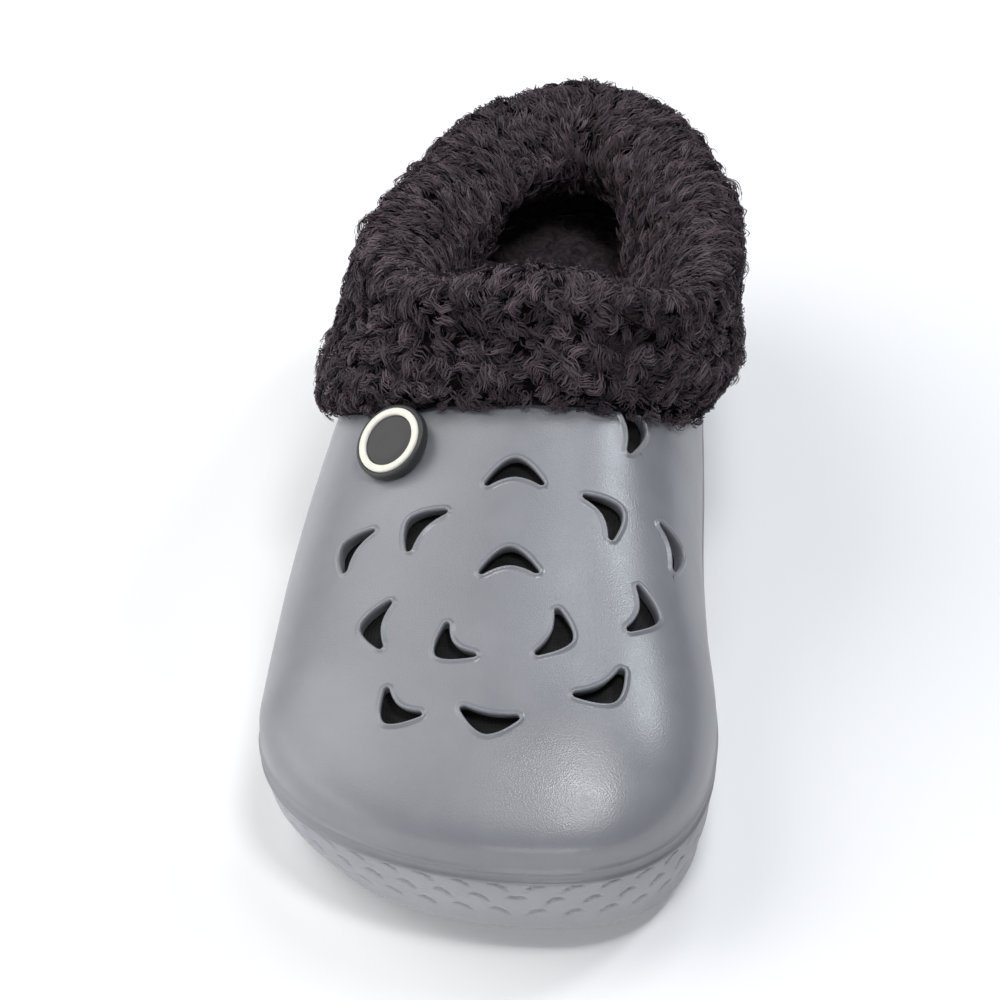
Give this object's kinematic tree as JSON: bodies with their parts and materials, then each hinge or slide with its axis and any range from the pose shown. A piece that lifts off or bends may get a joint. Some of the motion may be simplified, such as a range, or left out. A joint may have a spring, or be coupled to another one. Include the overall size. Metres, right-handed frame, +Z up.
{
  "type": "fleece-lined clog",
  "caption": "Moulded foam clog for the right foot, with crescent vents over the vamp, a dark fleece sock with a turned-down cuff, and a round stud on the lateral side.",
  "frame": {"origin": "middle of the shoe's plan box, on the floor plane under the sole", "axes": "+Y from the toe to the heel, +Z up, +X to the medial side of the foot"},
  "size_m": [0.1128, 0.2754, 0.107],
  "materials": {
    "grey_blue_foam": "satin moulded foam with a fine embossed grain",
    "dark_lining": "brushed fleece",
    "insole_pile": "flat trodden fleece",
    "dark_pile": "curly fleece pile",
    "dark_plastic": "soft black plastic",
    "pale_plastic": "cream plastic"
  },
  "bodies": {
    "root": {"moulded_upper_and_sole": "grey_blue_foam", "liner_sock": "dark_lining", "liner_insole": "insole_pile", "fleece_cuff": "dark_pile", "badge_cap": "dark_plastic", "badge_ring": "pale_plastic"}
  },
  "joints": []
}
